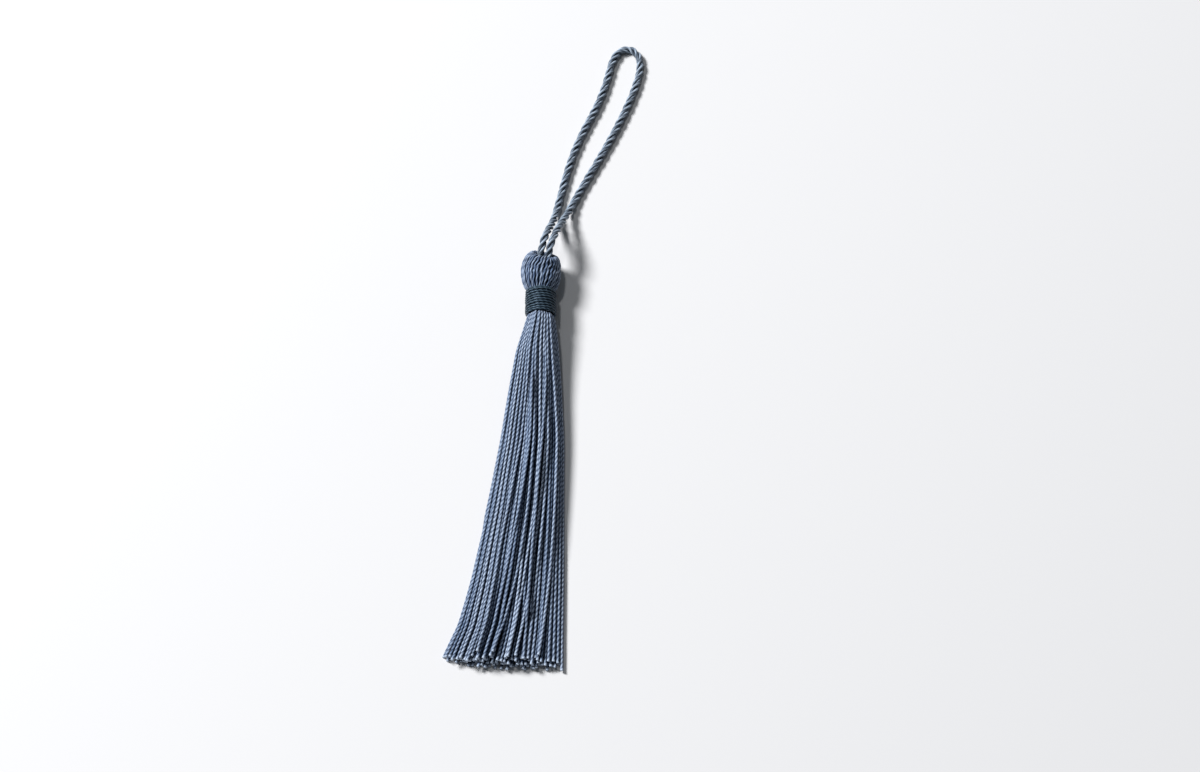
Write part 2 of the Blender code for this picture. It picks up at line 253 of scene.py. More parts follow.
def find_crevices(strands, end_view, rounds, open_at, dark_at):
    """Mark the points that have yarn close in front of them, for painted shade. 0 is open and 1 is a
    deep crevice.
    """
    skins = [ring_points(one, end_view[0]) for one in strands]
    low = np.min([skin.min(axis=(0, 1)) for skin in skins], axis=0) - GRID_MARGIN
    high = np.max([skin.max(axis=(0, 1)) for skin in skins], axis=0) + GRID_MARGIN
    grid = blurred(crowding(strands, skins, low, high), rounds)
    for one, skin in zip(strands, skins):
        ahead = unit(skin - one["line"][:, None])
        found = 0.0
        for reach in LOOK_OUT:
            cell = np.rint((skin + reach * ahead - low) / CELL).astype(int)
            found = found + grid[tuple(np.moveaxis(cell, -1, 0))] / len(LOOK_OUT)
        one["crevice"] = np.clip((found - open_at) / (dark_at - open_at), 0.0, 1.0)
    average = np.mean([one["crevice"].mean() for one in strands])
    print(f"{len(strands)} strands lie {average:.0%} deep in crevices on average")


# %% [markdown]
# ## From strands to a mesh
#
# `spin` turns a whole set of strands into one mesh and writes what the finish needs. A map called Yarn
# runs round and along each strand. Three numbers a point hold the tone of its dye, its painted shade,
# which is set by its depth in a groove between plies or in a crevice, and how far it is from a cut end.
# The other map, OFBake, lays the strands out in rows, so that colours can be baked without one strand
# covering another. The faces that close a strand's ends lie in a narrow column of their own, beside its
# first row.

# %% Faces, maps and numbers of one strand
ROWS_START, ROWS_WIDTH = 0.005, 0.965  # of the map for baking
ROW_GAP, ROW_FILL = 0.08, 0.84  # of the height of a row
END_COLUMN = 0.983  # where the end faces lie in that map
END_UP = (0.3, 0.7)  # of the height of a row, for the first end and the last
END_WIDTH, END_HEIGHT = 0.006, 0.12  # half the size of an end face, of the map and of a row


def skin_faces(rings, corners, first):
    """Four-sided faces between the rings, with the ring and the corner where each of them starts."""
    ring, corner = np.divmod(np.arange((rings - 1) * corners), corners)
    after = (corner + 1) % corners
    here, ahead = first + ring * corners, first + (ring + 1) * corners
    return np.column_stack([here + corner, ahead + corner, ahead + after, here + after]), ring, corner


def skin_maps(place, ring, corner, corners, row, rows, rings_in_row):
    """The corners of those faces in the Yarn map and in the map for baking."""
    step_along, step_round = np.array([0, 1, 1, 0]), np.array([0, 0, 1, 1])
    round_it = (corner[:, None] + step_round) / corners
    along = place[ring[:, None] + step_along]
    stretch = ring[:, None] // rings_in_row
    across = (ring[:, None] - stretch * rings_in_row + step_along) / rings_in_row
    up = (row + stretch + ROW_GAP + ROW_FILL * round_it) / rows
    yarn = np.stack([round_it, along], -1)
    bake = np.stack([ROWS_START + ROWS_WIDTH * across, up], -1)
    return yarn.reshape(-1, 2), bake.reshape(-1, 2)


def end_faces(one, shape, first, row, rows):
    """The two faces that close a strand, each with its corners in both maps."""
    corners = len(shape)
    found = []
    for at, order, up in ((0, 1, END_UP[0]), (len(one["line"]) - 1, -1, END_UP[1])):
        face = (first + at * corners + np.arange(corners))[::order]
        yarn = np.column_stack([np.arange(corners) / corners, np.full(corners, one["place"][at])])
        middle = np.array([END_COLUMN, (row + up) / rows])
        found.append((face, yarn, middle + shape[::order] * np.array([END_WIDTH, END_HEIGHT / rows])))
    return found


def finish_numbers(one, depth):
    """What the finish reads at each of a strand's points."""
    rings, corners = len(one["line"]), len(depth)
    crevice = one.get("crevice", np.zeros((rings, corners)))
    return {
        "tone": np.full(rings * corners, one["tone"]),
        # Painted shade: darkest deep in the grooves between plies and in the crevices between threads.
        "groove": (1.0 - (1.0 - depth) * (1.0 - crevice)).ravel(),
        "to_end": np.repeat(one["to_end"], corners),
    }


# %% Spinning
CREASE = math.radians(75.0)  # edges sharper than this stay sharp


def spin(name, strands, end_view, rings_in_row, material, slot, *nodes):
    """One mesh of all the strands, which rides with the part and stands for its nodes."""
    shape, depth = end_view
    corners = len(shape)
    its_rows = [math.ceil((len(one["line"]) - 1) / rings_in_row) for one in strands]
    rows = sum(its_rows)
    points, skin, skin_corners, ends, numbers = [], [], [], [], []
    first, row = 0, 0
    for one, taken in zip(strands, its_rows):
        rings = len(one["line"])
        points.append(ring_points(one, shape).reshape(-1, 3) * MM)
        quads, ring, corner = skin_faces(rings, corners, first)
        skin.append(quads)
        skin_corners.append(skin_maps(one["place"], ring, corner, corners, row, rows, rings_in_row))
        ends += end_faces(one, shape, first, row, rows)
        numbers.append(finish_numbers(one, depth))
        first += rings * corners
        row += taken
    mesh = bpy.data.meshes.new(name)
    faces = [*np.vstack(skin).tolist(), *(face.tolist() for face, _, _ in ends)]
    mesh.from_pydata(np.vstack(points), [], faces)
    maps = skin_corners + [(yarn, bake) for _, yarn, bake in ends]
    for label, parts in zip(("Yarn", "OFBake"), zip(*maps)):
        layer = mesh.uv_layers.new(name=label)
        layer.uv.foreach_set("vector", np.vstack(parts).astype(np.float32).ravel())
    for label in numbers[0]:
        layer = mesh.attributes.new(label, "FLOAT", "POINT")
        values = np.concatenate([of_one[label] for of_one in numbers])
        layer.data.foreach_set("value", values.astype(np.float32))
    mesh.materials.append(material)
    mesh.shade_smooth()
    mesh.set_sharp_from_angle(angle=CREASE)
    piece = bpy.data.objects.new(name, mesh)
    bpy.context.scene.collection.objects.link(piece)
    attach(piece, "root")
    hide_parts(*nodes)
    triangles = 2 * sum(map(len, skin)) + len(ends) * (corners - 2)
    print(f"{name}: {len(strands)} strands, {triangles} triangles")
    return piece


# %% [markdown]
# ## Finishes: helpers
#
# A few small helpers keep the node trees readable: they make a node with its settings, feed a socket
# with a link or a plain value, and start or place a group with named inputs and outputs.

# %% Node helpers
FLOAT, COLOUR, VECTOR = "NodeSocketFloat", "NodeSocketColor", "NodeSocketVector"


def add_node(tree, kind, place, **settings):
    node = tree.nodes.new(kind)
    node.location = place
    for name, value in settings.items():
        setattr(node, name, value)
    return node


def feed(tree, value, socket):
    """value is a socket to link, a plain value, or None to leave things as they are."""
    if hasattr(value, "is_linked"):
        tree.links.new(value, socket)
    elif value is not None:
        socket.default_value = value


def maths(tree, place, operation, first, second=None):
    node = add_node(tree, "ShaderNodeMath", place, operation=operation)
    for value, socket in zip((first, second), node.inputs):
        feed(tree, value, socket)
    return node.outputs[0]


def mix_colours(tree, place, share, first, second):
    """A Mix node. Its sockets for colours go by number, because other kinds share their names."""
    node = add_node(tree, "ShaderNodeMix", place, data_type="RGBA")
    for value, number in ((share, 0), (first, 6), (second, 7)):
        feed(tree, value, node.inputs[number])
    return node.outputs[2]


def new_group(name, inputs, outputs):
    group = bpy.data.node_groups.new(name, "ShaderNodeTree")
    for label, kind, value in inputs:
        socket = group.interface.new_socket(name=label, in_out="INPUT", socket_type=kind)
        if value is not None:
            socket.default_value = value
    for label, kind in outputs:
        group.interface.new_socket(name=label, in_out="OUTPUT", socket_type=kind)
    entry = add_node(group, "NodeGroupInput", (-900, 0))
    leave = add_node(group, "NodeGroupOutput", (900, 0))
    return group, entry.outputs, leave.inputs


def place_group(tree, place, group, values):
    """Put a group in a tree and feed its inputs by name."""
    node = add_node(tree, "ShaderNodeGroup", place, node_tree=group)
    for label, value in values.items():
        feed(tree, value, node.inputs[label])
    return node.outputs


# %% [markdown]
# ## Silk filaments
#
# Close up, each ply is a bundle of hair-fine filaments. They show as streaks that run almost along the
# ply. A noise stretched a long way does this, but it must close up where the map meets itself round
# the yarn. So the angle round the yarn becomes a point on a circle, and the noise is read there.

# %% Filament group
NOISE_DETAIL, NOISE_ROUGHNESS = 3.0, 0.6
NOISE_LOW, NOISE_HIGH = 0.32, 0.68  # most of the noise lies between these


def make_filaments():
    group, given, put = new_group(
        "Silk filaments",
        [
            ("Yarn map", VECTOR, None),
            ("Fineness", FLOAT, 3.0),
            ("Lean", FLOAT, 0.4),
            ("Run", FLOAT, 0.5),
        ],
        [("Streak", FLOAT), ("Height", FLOAT)],
    )
    split = add_node(group, "ShaderNodeSeparateXYZ", (-700, 100))
    group.links.new(given["Yarn map"], split.inputs[0])
    leaning = maths(group, (-520, -60), "MULTIPLY", split.outputs["Y"], given["Lean"])
    turn = maths(group, (-360, 60), "ADD", split.outputs["X"], leaning)
    angle = maths(group, (-200, 60), "MULTIPLY", turn, 2 * math.pi)
    cosine = maths(group, (-40, 160), "COSINE", angle)
    sine = maths(group, (-40, 0), "SINE", angle)
    x = maths(group, (120, 160), "MULTIPLY", cosine, given["Fineness"])
    y = maths(group, (120, 0), "MULTIPLY", sine, given["Fineness"])
    z = maths(group, (-40, -160), "MULTIPLY", split.outputs["Y"], given["Run"])
    spot = add_node(group, "ShaderNodeCombineXYZ", (280, 60))
    for value, socket in zip((x, y, z), spot.inputs):
        group.links.new(value, socket)
    noise = add_node(group, "ShaderNodeTexNoise", (440, 60))
    noise.inputs["Scale"].default_value = 1.0
    noise.inputs["Detail"].default_value = NOISE_DETAIL
    noise.inputs["Roughness"].default_value = NOISE_ROUGHNESS
    group.links.new(spot.outputs[0], noise.inputs["Vector"])
    contrast = add_node(group, "ShaderNodeMapRange", (620, 140))
    contrast.inputs["From Min"].default_value = NOISE_LOW
    contrast.inputs["From Max"].default_value = NOISE_HIGH
    group.links.new(noise.outputs["Fac"], contrast.inputs["Value"])
    group.links.new(contrast.outputs[0], put["Streak"])
    group.links.new(noise.outputs["Fac"], put["Height"])
    return group


filaments = make_filaments()
print("group", filaments.name, [item.name for item in filaments.interface.items_tree])

# %% [markdown]
# ## Dyed floss and painted shade
#
# No two threads of a skein take the dye alike. Each strand has a tone of its own, and each filament is a
# little lighter or darker. The grooves between plies and the crevices between threads get painted shade,
# and fluff there makes them rougher. This group mixes the three from a deep painted-shade colour, a body
# and a bright colour, and it gives the roughness that goes with them.

# %% Dye and painted-shade group
STREAK_WEIGHT, TONE_WEIGHT = 0.45, 0.55  # of a filament's tone and of the whole strand's
GROOVE_POWER, GROOVE_SHADE = 0.6, 0.97  # how soon the painted shade in a groove turns dark, and how dark it gets
ROUGHNESS, STREAK_SMOOTHER, GROOVE_ROUGHER = 0.36, -0.12, 0.2


def make_dye_and_painted_shade():
    group, given, put = new_group(
        "Dyed floss and painted shade",
        [
            ("Streak", FLOAT, 0.5),
            ("Tone", FLOAT, 0.5),
            ("Groove shade", FLOAT, 0.0),
            ("Painted deep shade", COLOUR, (0.02, 0.03, 0.06, 1.0)),
            ("Body", COLOUR, (0.1, 0.15, 0.25, 1.0)),
            ("Bright", COLOUR, (0.2, 0.3, 0.45, 1.0)),
        ],
        [("Colour", COLOUR), ("Roughness", FLOAT)],
    )
    lift = maths(group, (-600, 200), "MULTIPLY", given["Streak"], STREAK_WEIGHT)
    tone = maths(group, (-600, 40), "MULTIPLY", given["Tone"], TONE_WEIGHT)
    both = maths(group, (-420, 120), "ADD", lift, tone)
    lighter = mix_colours(group, (-200, 200), both, given["Body"], given["Bright"])
    # Painted shade: the deeper a groove or crevice, the more of the deep colour.
    hollow = maths(group, (-200, -60), "POWER", given["Groove shade"], GROOVE_POWER)
    shade = maths(group, (-20, -60), "MULTIPLY", hollow, GROOVE_SHADE)
    darker = mix_colours(group, (200, 120), shade, lighter, given["Painted deep shade"])
    group.links.new(darker, put["Colour"])
    smoother = maths(group, (200, -140), "MULTIPLY", given["Streak"], STREAK_SMOOTHER)
    on_top = maths(group, (380, -140), "ADD", smoother, ROUGHNESS)
    rougher = maths(group, (380, -280), "MULTIPLY", given["Groove shade"], GROOVE_ROUGHER)
    group.links.new(maths(group, (560, -200), "ADD", on_top, rougher), put["Roughness"])
    return group


dye_and_painted_shade = make_dye_and_painted_shade()
print("group", dye_and_painted_shade.name, [item.name for item in dye_and_painted_shade.interface.items_tree])

# %% [markdown]
# ## Cut ends
#
# Scissors open the filaments, and their ends scatter light, so the last fraction of a millimetre of
# each thread looks pale. The mask fades in from the stored distance to the end.

# %% Cut-end group


def make_cut_end():
    group, given, put = new_group(
        "Cut end", [("To end", FLOAT, FAR), ("Reach", FLOAT, 0.5)], [("Mask", FLOAT)]
    )
    share = maths(group, (-300, 0), "DIVIDE", given["To end"], given["Reach"])
    fade = maths(group, (-100, 0), "SUBTRACT", 1.0, share)
    clear = add_node(group, "ShaderNodeClamp", (100, 0))
    group.links.new(fade, clear.inputs[0])
    group.links.new(clear.outputs[0], put["Mask"])
    return group


cut_end = make_cut_end()
print("group", cut_end.name, [item.name for item in cut_end.interface.items_tree])

# %% [markdown]
# ## The three yarns' finishes
#
# The floss, the winding thread and the cord are spun from like filaments and dyed in one bath, so they
# share the groups, each with its own colours, fineness and lean. What stays the same all over is set
# on the shader itself: how strong the gloss is, its tint, and how far the filaments draw it out.

# %% Yarn materials
GLOSS_TINT = (0.55, 0.75, 1.0, 1.0)
GLOSS_DRAWN_OUT = 0.7
SPUN_FINE = {"fineness": 3.0, "lean": 0.15, "run": 0.45, "bump": 0.008, "gloss": 0.15}


def stored_number(tree, place, name):
    return add_node(tree, "ShaderNodeAttribute", place, attribute_name=name).outputs["Fac"]


def yarn_material(name, deep, body, bright, fineness, lean, run, bump, gloss, pale=None):
    """fineness, lean and run go to the filaments, whose height is bump. deep is the colour of painted
    shade, and pale is for cut ends.
    """
    made = bpy.data.materials.new(name)
    made.use_nodes = True
    tree = made.node_tree
    shader = tree.nodes["Principled BSDF"]
    shader.location = (500, 0)
    tree.nodes["Material Output"].location = (800, 0)
    shader.inputs["Specular IOR Level"].default_value = gloss
    shader.inputs["Specular Tint"].default_value = GLOSS_TINT
    shader.inputs["Anisotropic"].default_value = GLOSS_DRAWN_OUT
    across = add_node(tree, "ShaderNodeTangent", (150, -650), direction_type="UV_MAP", uv_map="Yarn")
    tree.links.new(across.outputs[0], shader.inputs["Tangent"])
    yarn_map = add_node(tree, "ShaderNodeUVMap", (-900, 100), uv_map="Yarn").outputs[0]
    spun = {"Yarn map": yarn_map, "Fineness": fineness, "Lean": lean, "Run": run}
    fine = place_group(tree, (-650, 100), filaments, spun)
    dyed_and_shaded = place_group(tree, (-300, 100), dye_and_painted_shade, {
        "Streak": fine["Streak"],
        "Tone": stored_number(tree, (-650, -150), "tone"),
        "Groove shade": stored_number(tree, (-650, -330), "groove"),
        "Painted deep shade": (*deep, 1.0),
        "Body": (*body, 1.0),
        "Bright": (*bright, 1.0),
    })
    colour = dyed_and_shaded["Colour"]
    if pale:
        to_end = stored_number(tree, (-300, -250), "to_end")
        mask = place_group(tree, (-100, -250), cut_end, {"To end": to_end})["Mask"]
        colour = mix_colours(tree, (150, 100), mask, colour, (*pale, 1.0))
    tree.links.new(colour, shader.inputs["Base Color"])
    tree.links.new(dyed_and_shaded["Roughness"], shader.inputs["Roughness"])
    raised = add_node(tree, "ShaderNodeBump", (150, -450))
    raised.inputs["Distance"].default_value = bump * MM
    raised.inputs["Strength"].default_value = 1.0
    tree.links.new(fine["Height"], raised.inputs["Height"])
    tree.links.new(raised.outputs[0], shader.inputs["Normal"])
    return made


# In each finish, deep is the colour of the painted shade in grooves and crevices.
floss = yarn_material(
    "floss",
    deep=(0.0003, 0.008, 0.034),
    body=(0.052, 0.096, 0.186),
    bright=(0.465, 0.545, 0.680),
    pale=(0.40, 0.47, 0.58),
    **SPUN_FINE,
)
winding = yarn_material(
    "winding_thread",
    deep=(0.0003, 0.004, 0.010),
    body=(0.012, 0.025, 0.040),
    bright=(0.110, 0.160, 0.205),
    **SPUN_FINE,
)
cord_finish = yarn_material(
    "twisted_cord",
    deep=(0.0003, 0.005, 0.016),
    body=(0.034, 0.058, 0.095),
    bright=(0.460, 0.540, 0.640),
    fineness=4.0,
    lean=0.05,
    run=0.35,
    bump=0.010,
    gloss=0.2,
)
print("finishes:", floss.name, winding.name, cord_finish.name)

# %% [markdown]
# ## The hanging loop
#
# The cord is three plies laid up round each other, each of them two threads, twisted to the right. Its
# legs leave the slot in the head side by side, come down to the surface and run out to a loose bight.
# The route is drawn point by point, since a limp cord on a table follows no formula. Each ply
# then travels round that route like the rail of a spiral stair.

# %% The cord's route
CORD_ROUTE = (
    (-0.16, 2.04, 5.11),
    (0.15, 3.13, 5.99),
    (0.50, 4.38, 6.44),
    (0.90, 5.78, 6.16),
    (1.38, 7.52, 5.03),
    (1.86, 9.45, 3.32),
    (2.32, 11.6, 1.80),
    (2.86, 14.2, 0.95),
    (3.62, 17.6, 0.72),
    (4.75, 22.3, 0.72),
    (6.15, 26.9, 0.72),
    (7.95, 31.3, 0.72),
    (9.80, 35.3, 0.72),
    (11.3, 39.3, 0.72),
    (12.2, 42.6, 0.72),
    (13.0, 45.6, 0.72),
    (14.3, 47.7, 0.72),
    (16.2, 48.2, 0.72),
    (17.7, 46.9, 0.72),
    (18.1, 44.4, 0.72),
    (17.4, 40.8, 0.72),
    (15.9, 36.4, 0.72),
    (13.6, 31.0, 0.72),
    (11.0, 25.6, 0.72),
    (8.50, 20.8, 0.72),
    (6.30, 16.4, 0.80),
    (4.90, 13.1, 1.42),
    (3.92, 10.4, 3.00),
    (3.14, 7.95, 4.80),
    (2.48, 5.72, 6.12),
    (1.92, 4.05, 6.44),
    (1.54, 2.73, 5.99),
    (1.22, 1.64, 5.11),
)
print(f"{len(CORD_ROUTE)} points, from the slot out and back into it")

# %% Lay up the cord
CORD_LAY = 5.6  # one whole turn of the plies
CORD_RINGS = 36  # in one lay
CORD_PLIES = 3
PLY_REACH = 0.37  # from the cord's middle to the middle of a ply
PLY_RADIUS = 0.32
PLY_LAY = 9.0  # one whole turn of the threads in a ply
PLY_START = 0.25 * math.pi  # how far the threads are turned where the cord starts
FIRST_PLY_TONE, PLY_TONE_STEP = 0.45, 0.15


def lay_up(route, plies):
    """Strands that wind round the route, in step with each other."""
    line = smooth_line(route)
    length = length_along(line)[-1]
    turns = round(length / CORD_LAY)
    line = evenly(line, turns * CORD_RINGS)
    forward = unit(np.gradient(line, axis=0))
    side = unit(np.cross(forward, UP))
    over = np.cross(side, forward)
    angle = -2 * math.pi * np.arange(len(line)) / CORD_RINGS
    found = []
    for ply in range(plies):
        at = angle + 2 * math.pi * ply / plies
        away = np.cos(at)[:, None] * side + np.sin(at)[:, None] * over
        tone = FIRST_PLY_TONE + PLY_TONE_STEP * ply
        found.append(strand(line + PLY_REACH * away, PLY_RADIUS, away, PLY_LAY, tone, PLY_START))
    return line, length, found


cord_line, cord_length, cord_plies = lay_up(CORD_ROUTE, CORD_PLIES)
ply_end = outline(2, 0.74, 14)
find_crevices(cord_plies, ply_end, rounds=1, open_at=0.06, dark_at=0.27)
hanging_loop = spin(
    "loop_cord", cord_plies, ply_end, 80, cord_finish, "twisted_cord", "hanging_loop"
)
print(f"cord {cord_length:.1f} mm long")

# %% [markdown]
# ## The skirt
#
# A cut skirt that lies on its side is a heap of threads: round where it leaves the neck, then flat
# underneath and domed on top, wider and lower towards the cut. A cloth or hair simulation would settle
# it, but takes long and is hard to steer. Here a table of cross-sections says how wide and high the
# heap is. The solid fills the same heap with fewer and thicker strands.

# %% Cross-sections of the heap
# Columns: share of the free length, half width, half height, dome (0 is an oval, 1 is flat underneath),
# gap to the surface, sideways lean, radius of a thread.
SKIRT_SECTIONS = np.array([
    (0.00, 2.78, 2.78, 0.00, 0.72, 0.0, 0.212),
    (0.08, 3.95, 2.60, 0.20, 0.40, -0.5, 0.232),
    (0.20, 4.90, 2.32, 0.55, 0.06, -0.8, 0.244),
    (0.36, 5.95, 2.06, 0.90, 0.00, -1.3, 0.252),
    (0.56, 7.15, 1.83, 1.00, 0.00, -2.4, 0.258),
    (0.78, 8.60, 1.65, 1.00, 0.00, -3.8, 0.262),
    (0.90, 9.60, 1.58, 1.00, 0.00, -4.8, 0.266),
    (1.00, 11.0, 1.53, 1.00, 0.00, -6.1, 0.270),
])
CUT_HALF_WIDTH = SKIRT_SECTIONS[-1, 1]
ROOT_FACE = NECK_END - 1.2  # where the first of these sections lies
print(f"skirt {ROOT_FACE - CUT_END:.1f} mm long, {2 * CUT_HALF_WIDTH:.0f} mm wide where it is cut")

# %% [markdown]
# ## Threads in a cross-section
#
# In each section the threads start as an even lattice, squeezed to the section's height. The golden
# ratio keeps such a lattice even however flat it is squeezed. Then the threads push apart until none
# lies in another or under the surface, and a few that belong on top are laid there one by one.

# %% Spread, settle and lay
THREAD_COUNT = 112
GOLDEN = 0.5 * (1.0 + math.sqrt(5.0))
SETTLE_ROUNDS = 40
PUSH = 0.3  # how much of an overlap each of the two threads gives way by in a round
APART = 2.10  # the least distance between the middles of two threads, in radii


def lattice(count):
    """About count points in the unit disc. Squeezed flat at the same area, they stay as evenly apart."""
    pitch = math.sqrt(math.pi / (math.sqrt(5.0) * count))
    reach = int(2.0 / pitch)
    a, b = np.meshgrid(np.arange(-reach, reach + 1), np.arange(-reach, reach + 1), indexing="ij")
    u = (a + b * GOLDEN).ravel() * pitch
    v = (a + b * (1.0 - GOLDEN)).ravel() * pitch
    inside = np.hypot(u, v) < 1.0
    return u[inside], v[inside]


def settle(x, z, rest, least):
    """Threads closer than least push each other apart, and none sinks below rest."""
    for _ in range(SETTLE_ROUNDS):
        dx, dz = x[:, None] - x, z[:, None] - z
        gap = np.hypot(dx, dz)
        np.fill_diagonal(gap, least)
        push = PUSH * np.clip(least - gap, 0.0, None) / np.maximum(gap, 1e-6)
        x = x + (push * dx).sum(1)
        z = np.maximum(z + (push * dz).sum(1), rest)
    return x, z


def lay_on(x, z, laid, on_top, radius, rest, loose):
    """Move the threads on_top to lie on the others. loose is 0 in the neck and 1 where they do."""
    laid = list(laid)
    for index in on_top:
        across = np.abs(x[laid] - x[index])
        touch = across < 2 * radius
        height = max([rest, *(z[laid][touch] + np.sqrt(4 * radius**2 - across[touch] ** 2))])
        z[index] += loose * (height - z[index])
        laid.append(index)


# %% [markdown]
# ## Threads from the neck to the cut
#
# From section to section a thread keeps its place in the lattice, but for a slow drift and for locks,
# in which neighbours gather as if combed. A few strays on top run a little across the rest. Running a
# curve through its places gives each thread. They are cut to nearly one length, so a thread that takes
# a longer way ends a little sooner.

# %% Places of the threads
STATIONS = 25  # cross-sections along the skirt, read from the table
STATIONS_CROWD = 1.15  # the power that moves them a little towards the neck
FREE_BY, LOOSE_BY = 3.0, 5.0  # threads drift freely after a third of the skirt, strays rise in a fifth
WANDER, WANDER_WAVES = 0.16, (1.3, 0.6)  # sideways, and over what shares of the skirt
CLUMP = 0.14  # how far threads gather into locks
LOCK_WAVES = (1.3, 2.1, 3.4)  # locks in half the skirt's width, broad ones and fine ones
LOCK_SLANT = 0.7  # how far the locks run across, in their own widths
STRAYS = 12  # threads that lie on top of the rest, a little across them
STRAY_PICK = 0.25  # chance in the choice of these, so that they don't all lie in the middle
STRAY_REACH, STRAY_WAVES = 1.4, (2.2, 1.3)  # how far these wander sideways at the cut


def lock_pull(u, share, phases):
    """How strongly the locks draw the threads at u to one side or the other."""
    waves = zip(LOCK_WAVES, phases)
    return sum(np.sin(2 * math.pi * (wave * u + share * LOCK_SLANT + phase)) for wave, phase in waves)


def skirt_places(chance):
    """For each station its share of the way, the threads' x and z, and their radius."""
    u, v = lattice(THREAD_COUNT)
    shares = np.linspace(0.0, 1.0, STATIONS) ** STATIONS_CROWD
    wander = np.array([drift(chance, shares, WANDER_WAVES) for _ in u]).T
    phases = chance.random(len(LOCK_WAVES))
    on_top = np.argsort(v + chance.normal(0.0, STRAY_PICK, len(v)))[-STRAYS:]
    stray = np.array([drift(chance, shares, STRAY_WAVES) for _ in on_top]).T
    bulk = np.setdiff1d(np.arange(len(u)), on_top)
    places = []
    for share, aside, astray in zip(shares, wander, stray):
        wide, tall, dome, gap, lean, radius = (
            np.interp(share, SKIRT_SECTIONS[:, 0], column) for column in SKIRT_SECTIONS[:, 1:].T
        )
        rest = gap + radius
        free = min(1.0, FREE_BY * share)
        moved = WANDER * aside + CLUMP * lock_pull(u, share, phases)
        x = lean + (wide - radius) * u + free * (1.0 - u * u) * moved
        z = rest + (tall - radius) * ((1.0 - dome) + dome * np.sqrt(1.0 - u * u) + v)
        # On the surface, a thread with nothing beneath it drops down.
        if gap == 0.0:
            beneath = (np.abs(x[:, None] - x) < 2 * radius) & (z < z[:, None])
            z = np.where(beneath.any(1), z, rest)
        x[bulk], z[bulk] = settle(x[bulk], z[bulk], rest, APART * radius)
        x[on_top] += free * STRAY_REACH * (wide / CUT_HALF_WIDTH) * astray
        lay_on(x, z, bulk, on_top, radius, rest, min(1.0, LOOSE_BY * share))
        places.append((share, x, z, radius))
    return v, places


# %% Threads of the skirt
THREAD_LAY = 2.0
THREAD_RINGS = 9  # in one lay
LAY_RANGE = (0.88, 1.12)  # no two threads are twisted quite alike
IN_THE_NECK = ((0.86, 0.0), (0.70, 0.7))  # how close to the axis, in shares, and how far up
CUT_INSET = 0.4  # from the end of the yarn's box to where the average thread ends
END_SCATTER = 0.462
END_SLANT = 0.8  # the threads underneath reach this much further than those on top
TAKE_UP = 0.6  # how much of a detour comes off a thread's reach
TIP_FLARE, FLARE_LENGTH = 0.06, 0.6  # a cut end opens by this share of its radius, over this length
FLOSS_TONE, FLOSS_TONE_SPREAD = 0.54, 0.25


def thread_route(index, reach, places):
    """A thread's points from inside the neck to its end, each with the radius there."""
    path = np.array([(x[index], share * reach, z[index]) for share, x, z, _ in places])
    reach -= TAKE_UP * (length_along(path)[-1] - reach)
    route = [(x[index], ROOT_FACE - share * reach, z[index], radius) for share, x, z, radius in places]
    x, _, z, radius = route[0]
    for inward, along in IN_THE_NECK:
        radius *= inward
        height = AXIS_HEIGHT + (z - AXIS_HEIGHT) * inward
        route.insert(0, (x * inward, NECK_END + along, height, radius))
    return route


def skirt_strands(seed):
    """The threads of the skirt, from the lowest to the highest."""
    chance = np.random.default_rng(seed)
    v, places = skirt_places(chance)
    strands = []
    for index in range(len(v)):
        end = chance.normal(0.0, END_SCATTER) - 0.5 * END_SLANT * v[index]
        route = thread_route(index, ROOT_FACE - CUT_END - CUT_INSET + end, places)
        line = smooth_line(route, steps=10)
        length = length_along(line)[-1]
        line = evenly(line, round(length / THREAD_LAY * THREAD_RINGS))
        radius, line = line[:, 3], line[:, :3]
        to_end = length - length_along(line)
        radius = radius * (1.0 + TIP_FLARE * np.clip(1.0 - to_end / FLARE_LENGTH, 0.0, 1.0))
        line[:, 2] = np.maximum(line[:, 2], radius)
        tone = float(np.clip(chance.normal(FLOSS_TONE, FLOSS_TONE_SPREAD), 0.0, 1.0))
        lay = THREAD_LAY * chance.uniform(*LAY_RANGE)
        turn = chance.uniform(0.0, 2 * math.pi)
        strands.append(strand(line, radius, UP, lay, tone, turn, to_end))
    return [strands[index] for index in np.argsort(v, kind="stable")]


skirt = skirt_strands(seed=7)
low = min(one["line"][:, 2].min() for one in skirt)
print(f"{len(skirt)} threads in the skirt, lowest middle {low:.2f} mm up")

# %% [markdown]
# ## Spin the skirt
#
# The threads come sorted from the lowest to the highest, so each of the four meshes is a layer of the
# heap. That keeps every mesh light enough to handle.

# %% Four layers of threads
PIECES_OF_SKIRT = 4

thread_end = outline(2, 0.84, 8)
find_crevices(skirt, thread_end, rounds=2, open_at=0.10, dark_at=0.48)
in_a_piece = math.ceil(len(skirt) / PIECES_OF_SKIRT)
for number in range(PIECES_OF_SKIRT):
    layer = skirt[number * in_a_piece : (number + 1) * in_a_piece]
    spin(f"skirt_threads_{number + 1}", layer, thread_end, 400, floss, "floss", "yarn_tassel")

# %% [markdown]
# ## The head
#
# The ball is the same floss where it turns over the cord. The threads come out of the slot round the
# cord's legs, run over the ball with a slight lean and go under the binding. They crowd where the ball
# narrows, so there every other thread sinks a little and all are squeezed thinner. The fold also takes
# some of the twist out of them, so their lay is longer than in the skirt.
#
# The cord pulls the slot up and to one side. The outline is drawn straight first, and then each place
# on the ball swings with the slot: fully at its rim, less further round, and not at all from the waist
# on.

